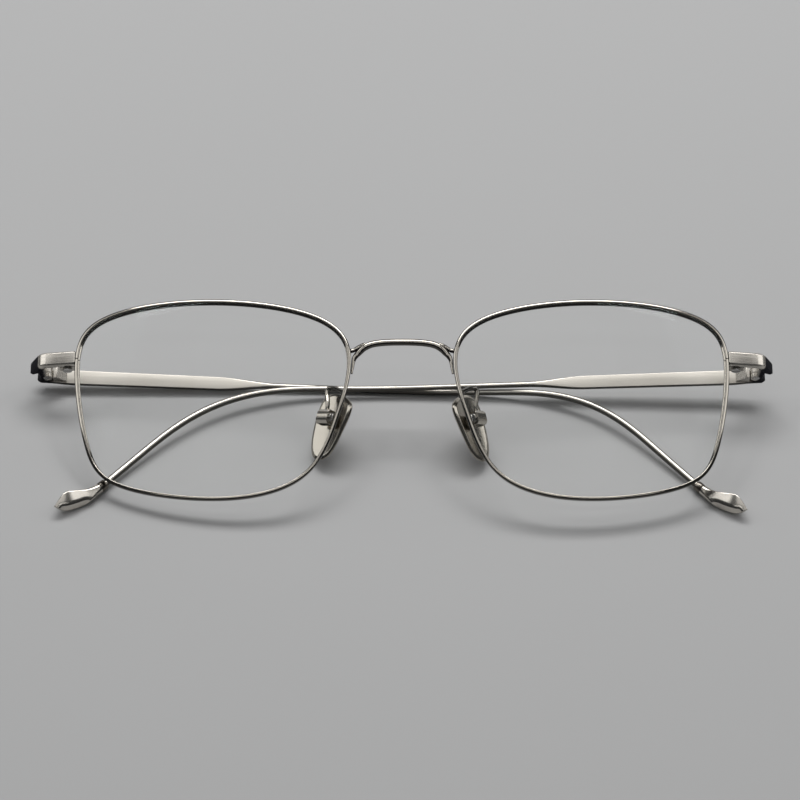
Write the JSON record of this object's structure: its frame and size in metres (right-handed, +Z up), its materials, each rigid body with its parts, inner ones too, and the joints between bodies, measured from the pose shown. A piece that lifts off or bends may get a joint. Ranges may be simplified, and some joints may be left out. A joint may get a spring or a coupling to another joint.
{
  "type": "eyeglasses",
  "caption": "Rectangular full-rim metal eyeglasses with adjustable nose pads and slim wire temples, folded.",
  "frame": {"origin": "centre of the folded glasses' footprint, on the table they lie on", "axes": "+X to the wearer's left along the length, +Y towards the upper edge of the lenses, +Z up from the table"},
  "size_m": [0.143, 0.0398, 0.0204],
  "materials": {
    "metal": "satin and polished titanium",
    "screws": "satin",
    "lens": "clear with an anti-reflection coating"
  },
  "bodies": {
    "front": {"bridge": "metal", "left_rim": "metal", "right_rim": "metal", "left_lens": "lens", "right_lens": "lens", "left_endpiece": "metal", "right_endpiece": "metal", "left_upper_block": "metal", "right_upper_block": "metal", "left_lower_block": "metal", "right_lower_block": "metal", "left_closing_screw": "screws", "right_closing_screw": "screws", "left_front_hinge": "metal", "right_front_hinge": "metal", "left_hinge_screw": "screws", "right_hinge_screw": "screws", "left_pad_arm": "metal", "right_pad_arm": "metal", "left_pad_box": "metal", "right_pad_box": "metal", "left_pad_screw": "screws", "right_pad_screw": "screws"},
    "left_temple": {"left_temple_hinge": "metal", "left_temple": "metal", "left_tip_collar": "metal", "left_temple_tip": "metal"},
    "right_temple": {"right_temple_hinge": "metal", "right_temple": "metal", "right_tip_collar": "metal", "right_temple_tip": "metal"},
    "left_pad": {"left_pad": "metal"},
    "right_pad": {"right_pad": "metal"}
  },
  "joints": [
    {"name": "left_temple_fold", "type": "hinge", "parent": "front", "child": "left_temple", "pos_m": [0.06853, 0.01308, 0.00737], "axis": [0.0069, -0.9364, -0.3508], "range_deg": [0, 89.7]},
    {"name": "right_temple_fold", "type": "hinge", "parent": "front", "child": "right_temple", "pos_m": [-0.06848, 0.01308, 0.00466], "axis": [-0.0069, 0.9364, 0.3508], "range_deg": [0, 88.5]},
    {"name": "left_pad_rock", "type": "hinge", "parent": "front", "child": "left_pad", "pos_m": [0.0144, -0.00064, 0.00783], "axis": [0.6633, 0.493, -0.563], "range_deg": [-8, 8]},
    {"name": "right_pad_rock", "type": "hinge", "parent": "front", "child": "right_pad", "pos_m": [-0.01462, -0.00089, 0.00782], "axis": [-0.7367, 0.4642, -0.4918], "range_deg": [-8, 8]}
  ]
}
